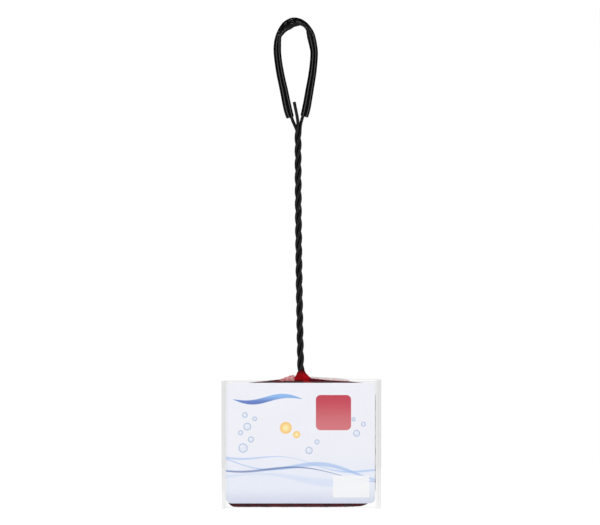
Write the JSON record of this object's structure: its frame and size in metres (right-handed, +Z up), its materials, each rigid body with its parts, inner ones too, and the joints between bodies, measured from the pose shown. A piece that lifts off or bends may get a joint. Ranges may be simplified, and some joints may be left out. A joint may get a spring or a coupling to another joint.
{
  "type": "aquarium fish net",
  "caption": "Hand net with a twisted coated-wire stem, a tubed hanging loop and a hemmed mesh bag on a rectangular frame, in its clear sleeve with an insert card.",
  "frame": {"origin": "the hanging point, on the inside of the grip tube at the top of the loop", "axes": "+Z up along the stem, +X to the right across the frame, -Y out of the net's mouth towards the viewer"},
  "size_m": [0.1309, 0.015, 0.4043],
  "materials": {
    "coated_wire": "black PVC coat on steel wire, satin to glossy",
    "steel_core": "bare cut steel",
    "grip_pvc": "soft glossy black PVC tube",
    "hem_mesh": "fine red nylon mesh, doubled",
    "bag_mesh": "fine red nylon mesh",
    "seam_thread": "sewn red nylon seam",
    "printed_card": "coated card, pale blue print",
    "clear_film": "clear polypropylene film",
    "welded_film": "hazy welded film edge"
  },
  "bodies": {
    "net": {"grip_wire": "coated_wire", "tail_strand": "coated_wire", "left_strand": "coated_wire", "right_strand": "coated_wire", "wire_core": "steel_core", "grip_tube": "grip_pvc", "frame_top_left": "coated_wire", "frame_top_right": "coated_wire", "frame_left": "coated_wire", "frame_right": "coated_wire", "frame_bottom": "coated_wire", "hem_top_left": "hem_mesh", "hem_top_right": "hem_mesh", "hem_left": "hem_mesh", "hem_right": "hem_mesh", "hem_bottom": "hem_mesh", "neck_gather": "hem_mesh", "net_bag": "bag_mesh", "side_seam_left": "seam_thread", "side_seam_right": "seam_thread"},
    "sleeve": {"sleeve_front": "clear_film", "sleeve_back": "clear_film", "sleeve_weld_left": "welded_film", "sleeve_weld_right": "welded_film", "sleeve_seal_bottom": "welded_film"},
    "card": {"insert_card": "printed_card"}
  },
  "joints": [
    {"name": "sleeve_slide", "type": "slide", "parent": "net", "child": "sleeve", "axis": [0, 0, -1], "range_m": [0, 0.11]},
    {"name": "card_slide", "type": "slide", "parent": "sleeve", "child": "card", "axis": [0, 0, 1], "range_m": [0, 0.105]}
  ]
}
